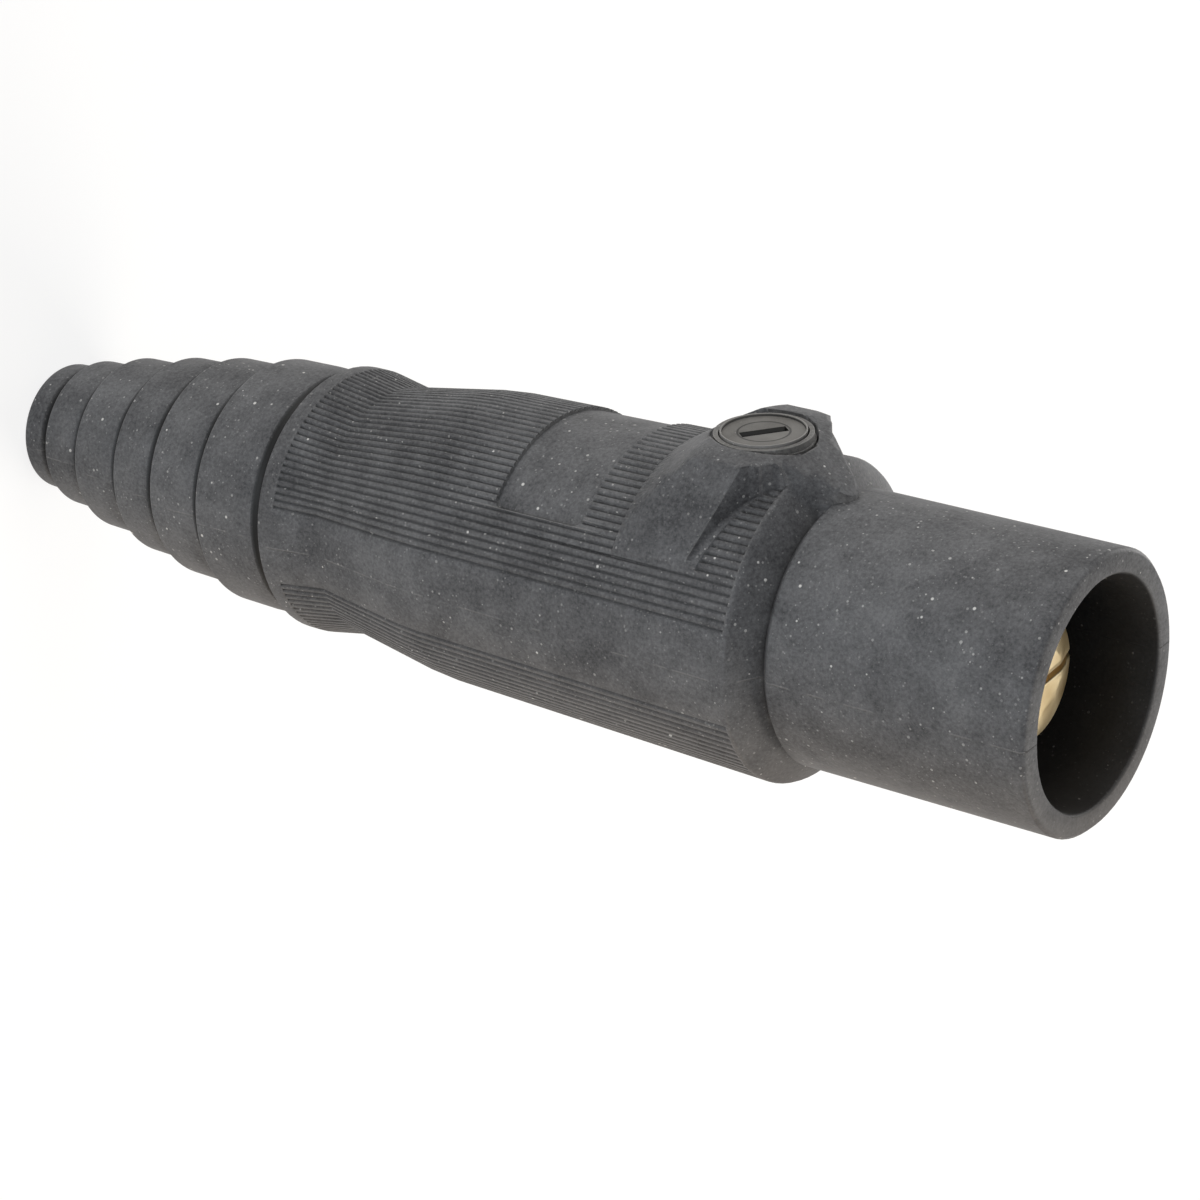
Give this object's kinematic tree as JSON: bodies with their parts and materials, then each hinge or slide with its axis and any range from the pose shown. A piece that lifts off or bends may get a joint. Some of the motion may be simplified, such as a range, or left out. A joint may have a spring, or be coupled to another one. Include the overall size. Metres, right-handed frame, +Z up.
{
  "type": "single-pole power plug",
  "caption": "In-line single-pole power plug: ribbed rubber sleeve with a shrouded brass pin, a screw boss and a stepped cable grip.",
  "frame": {"origin": "on the contact's axis at the floor of the shroud, where the pin stands out of the sleeve", "axes": "+Z up along the contact and out of the mouth, -Y out through the retaining screw, +X to the right of an eye that looks at the screw's head with the mouth up"},
  "size_m": [0.053, 0.0577, 0.216],
  "materials": {
    "sleeve_rubber": "matt moulded",
    "contact_brass": "turned",
    "screw_nylon": "moulded",
    "washer_rubber": "matt",
    "set_screw_steel": "blackened"
  },
  "bodies": {
    "plug": {"insulator_sleeve": "sleeve_rubber", "male_contact": "contact_brass", "cable_set_screw_1": "set_screw_steel", "cable_set_screw_2": "set_screw_steel"},
    "washer": {"sealing_washer": "washer_rubber"},
    "screw": {"retaining_screw": "screw_nylon"}
  },
  "joints": [
    {"name": "screw_lift", "type": "slide", "parent": "plug", "child": "washer", "axis": [0, -1, 0], "range_m": [0, 0.0075]},
    {"name": "screw_turn", "type": "hinge", "parent": "washer", "child": "screw", "pos_m": [0, -0.0307, -0.0197], "axis": [0, -1, 0], "range_deg": [0, 2160]}
  ],
  "couplings": [
    {"joint": "screw_turn", "follows": "screw_lift", "rad_per_m": 5026.5}
  ]
}
